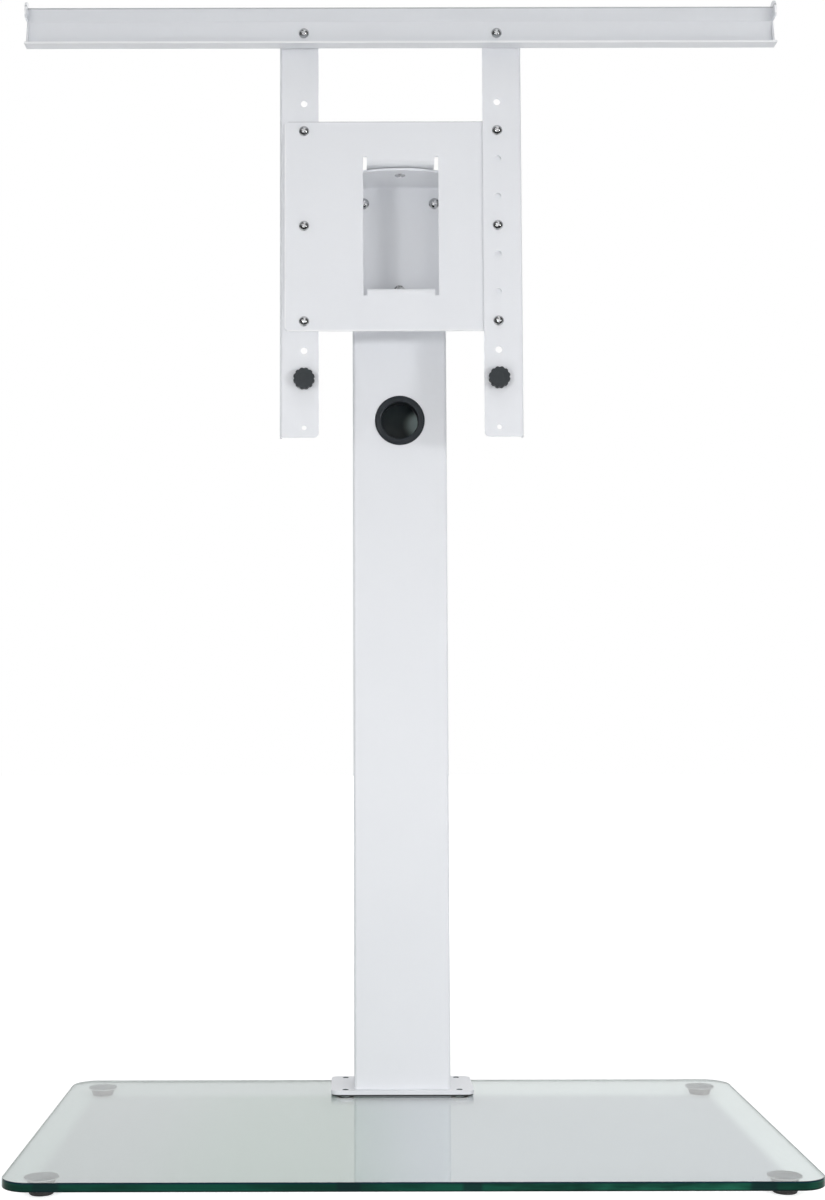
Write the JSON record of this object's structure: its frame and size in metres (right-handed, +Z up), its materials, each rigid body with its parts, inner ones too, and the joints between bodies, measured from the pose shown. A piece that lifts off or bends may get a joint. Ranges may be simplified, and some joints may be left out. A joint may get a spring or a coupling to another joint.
{
  "type": "television floor stand with swivel mount",
  "caption": "Floor stand for a television: clear glass base, white steel column with cable grommets, and a swivelling mount plate with arms, a top rail and bumper knobs.",
  "frame": {"origin": "on the floor, under the centre of the glass base", "axes": "+X to the right as the picture shows the stand, -Y towards the viewer and the television, +Z up"},
  "size_m": [0.775, 0.42, 1.1455],
  "materials": {
    "paint": "gloss white powder coat",
    "glass": "clear tempered glass with polished green edges",
    "disc": "matt grey",
    "rubber": "matt black",
    "cap": "satin white",
    "grommet": "satin black",
    "knob": "fine-textured slate black",
    "nylon": "natural, waxy",
    "zinc": "bright zinc plating",
    "screw": "nickel plating"
  },
  "bodies": {
    "stand": {"glass_base": "glass", "foot_discs": "disc", "rubber_feet": "rubber", "base_gasket": "rubber", "foot_plate": "paint", "column": "paint", "column_cap": "cap", "column_weld_nuts": "zinc", "glass_sleeves": "nylon", "rubber_washers": "rubber", "steel_washers": "zinc", "base_bolts": "zinc", "front_grommet": "grommet", "rear_grommet": "grommet", "swivel_bracket": "paint", "bracket_screws": "screw", "pivot_bolts": "screw", "friction_washers": "nylon", "pivot_washers": "zinc", "pivot_lock_nuts": "zinc"},
    "head": {"mount_plate": "paint", "left_arm": "paint", "right_arm": "paint", "arm_screws": "screw", "arm_nuts": "zinc", "top_rail": "paint", "rail_spacer": "zinc", "rail_screws": "screw", "rail_nuts": "zinc", "knob_nuts": "zinc"},
    "left_bumper": {"left_knob_stud": "zinc"},
    "left_grip": {"left_knob": "knob"},
    "right_bumper": {"right_knob_stud": "zinc"},
    "right_grip": {"right_knob": "knob"}
  },
  "joints": [
    {"name": "head_swivel", "type": "hinge", "parent": "stand", "child": "head", "pos_m": [0, 0.089, 0.9085], "axis": [0, 0, 1], "range_deg": [-20, 20]},
    {"name": "left_bumper_out", "type": "slide", "parent": "head", "child": "left_bumper", "axis": [0, -1, 0], "range_m": [0, 0.012]},
    {"name": "left_knob_turn", "type": "hinge", "parent": "left_bumper", "child": "left_grip", "pos_m": [-0.1, 0.06, 0.752], "axis": [0, 1, 0], "range_deg": [0, 4320]},
    {"name": "right_bumper_out", "type": "slide", "parent": "head", "child": "right_bumper", "axis": [0, -1, 0], "range_m": [0, 0.012]},
    {"name": "right_knob_turn", "type": "hinge", "parent": "right_bumper", "child": "right_grip", "pos_m": [0.1, 0.06, 0.752], "axis": [0, 1, 0], "range_deg": [0, 4320]}
  ],
  "couplings": [
    {"joint": "left_knob_turn", "follows": "left_bumper_out", "rad_per_m": 6283.2},
    {"joint": "right_knob_turn", "follows": "right_bumper_out", "rad_per_m": 6283.2}
  ]
}
